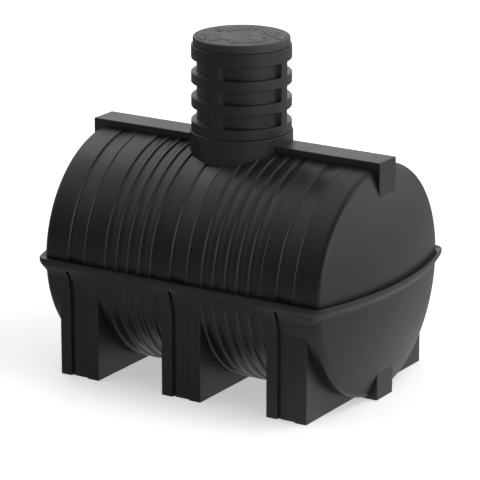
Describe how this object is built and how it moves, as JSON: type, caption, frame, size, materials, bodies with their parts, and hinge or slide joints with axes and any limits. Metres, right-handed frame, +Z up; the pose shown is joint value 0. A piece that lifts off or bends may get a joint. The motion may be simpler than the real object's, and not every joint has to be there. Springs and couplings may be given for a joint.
{
  "type": "plastic water tank",
  "caption": "Horizontal ribbed plastic water tank on moulded feet, with a mid-height flange, a ringed riser over its manhole and a lift-off lid.",
  "frame": {"origin": "on the ground under the neck's axis, at the middle of the tank", "axes": "+X along the barrel, +Y across it towards the back, +Z up along the neck"},
  "size_m": [2.1298, 1.44, 1.99],
  "materials": {
    "tank_plastic": "moulded, satin",
    "riser_plastic": "moulded, satin",
    "lid_plastic": "moulded, matte"
  },
  "bodies": {
    "tank": {"belt_middle_upper_front": "tank_plastic", "belt_middle_upper_back": "tank_plastic", "belt_middle_lower": "tank_plastic", "belt_left_upper": "tank_plastic", "belt_left_lower": "tank_plastic", "ribbed_wall_left_upper_front": "tank_plastic", "ribbed_wall_left_upper_back": "tank_plastic", "ribbed_wall_left_lower": "tank_plastic", "belt_right_upper": "tank_plastic", "belt_right_lower": "tank_plastic", "ribbed_wall_right_upper_front": "tank_plastic", "ribbed_wall_right_upper_back": "tank_plastic", "ribbed_wall_right_lower": "tank_plastic", "end_dome_left": "tank_plastic", "end_dome_right": "tank_plastic", "flange_front": "tank_plastic", "flange_back": "tank_plastic", "flange_left": "tank_plastic", "flange_right": "tank_plastic", "foot_left_front": "tank_plastic", "foot_left_back": "tank_plastic", "foot_middle_front": "tank_plastic", "foot_middle_back": "tank_plastic", "foot_right_front": "tank_plastic", "foot_right_back": "tank_plastic", "keel_left": "tank_plastic", "keel_middle": "tank_plastic", "keel_right": "tank_plastic", "top_beam_left": "tank_plastic", "top_beam_right": "tank_plastic", "neck_collar": "tank_plastic", "riser_ring_bottom": "riser_plastic", "riser_panels_lower": "riser_plastic", "riser_ring_lower": "riser_plastic", "riser_panels_middle": "riser_plastic", "riser_ring_upper": "riser_plastic", "riser_panels_upper": "riser_plastic", "riser_ring_top": "riser_plastic"},
    "lid": {"lid": "lid_plastic"}
  },
  "joints": [
    {"name": "lid_lift", "type": "slide", "parent": "tank", "child": "lid", "axis": [0, 0, 1], "range_m": [0, 0.35]}
  ]
}
